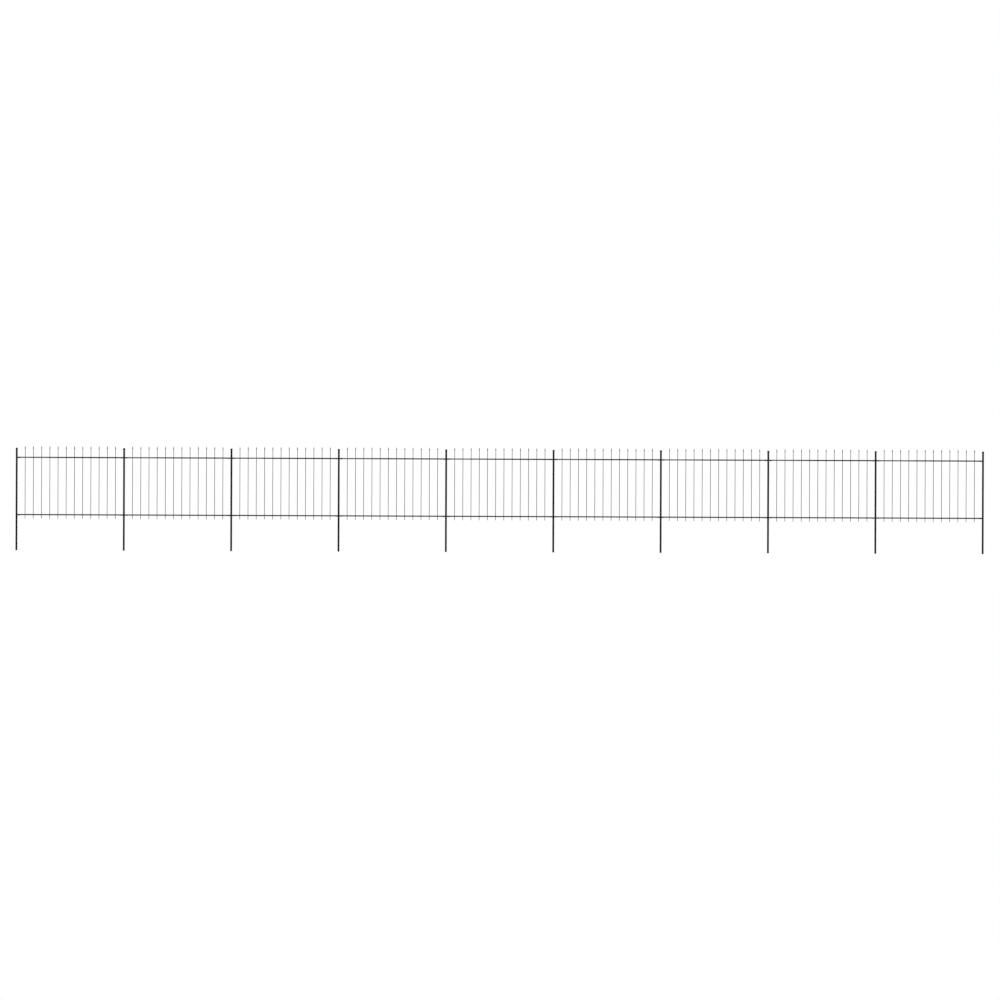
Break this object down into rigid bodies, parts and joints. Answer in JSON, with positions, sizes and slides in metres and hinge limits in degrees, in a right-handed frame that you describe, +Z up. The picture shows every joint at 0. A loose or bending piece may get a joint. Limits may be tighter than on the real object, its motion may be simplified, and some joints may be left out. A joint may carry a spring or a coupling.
{
  "type": "garden fence",
  "caption": "Straight garden fence of black steel panels with spear-topped pickets and two rails, bracketed between square posts with plastic caps.",
  "frame": {"origin": "the middle of the flat foot of the first post, at the left end seen from the front", "axes": "+X along the fence, +Y through it away from the front, +Z up the posts"},
  "size_m": [15.334, 0.034, 1.655],
  "materials": {
    "post_paint": "black powder coat, semi-matt with a fine grain",
    "cap_plastic": "moulded black polyethylene, matt",
    "panel_paint": "black powder coat over welded bars, semi-matt with a fine grain",
    "bracket_paint": "black powder coat over pressed plate, semi-matt"
  },
  "bodies": {
    "root": {"post_1": "post_paint", "post_2": "post_paint", "post_3": "post_paint", "post_4": "post_paint", "post_5": "post_paint", "post_6": "post_paint", "post_7": "post_paint", "post_8": "post_paint", "post_9": "post_paint", "post_10": "post_paint", "post_cap_1": "cap_plastic", "post_cap_2": "cap_plastic", "post_cap_3": "cap_plastic", "post_cap_4": "cap_plastic", "post_cap_5": "cap_plastic", "post_cap_6": "cap_plastic", "post_cap_7": "cap_plastic", "post_cap_8": "cap_plastic", "post_cap_9": "cap_plastic", "post_cap_10": "cap_plastic", "panel_1": "panel_paint", "panel_2": "panel_paint", "panel_3": "panel_paint", "panel_4": "panel_paint", "panel_5": "panel_paint", "panel_6": "panel_paint", "panel_7": "panel_paint", "panel_8": "panel_paint", "panel_9": "panel_paint", "rail_brackets_1": "bracket_paint", "rail_brackets_2": "bracket_paint", "rail_brackets_3": "bracket_paint", "rail_brackets_4": "bracket_paint", "rail_brackets_5": "bracket_paint", "rail_brackets_6": "bracket_paint", "rail_brackets_7": "bracket_paint", "rail_brackets_8": "bracket_paint", "rail_brackets_9": "bracket_paint"}
  },
  "joints": []
}
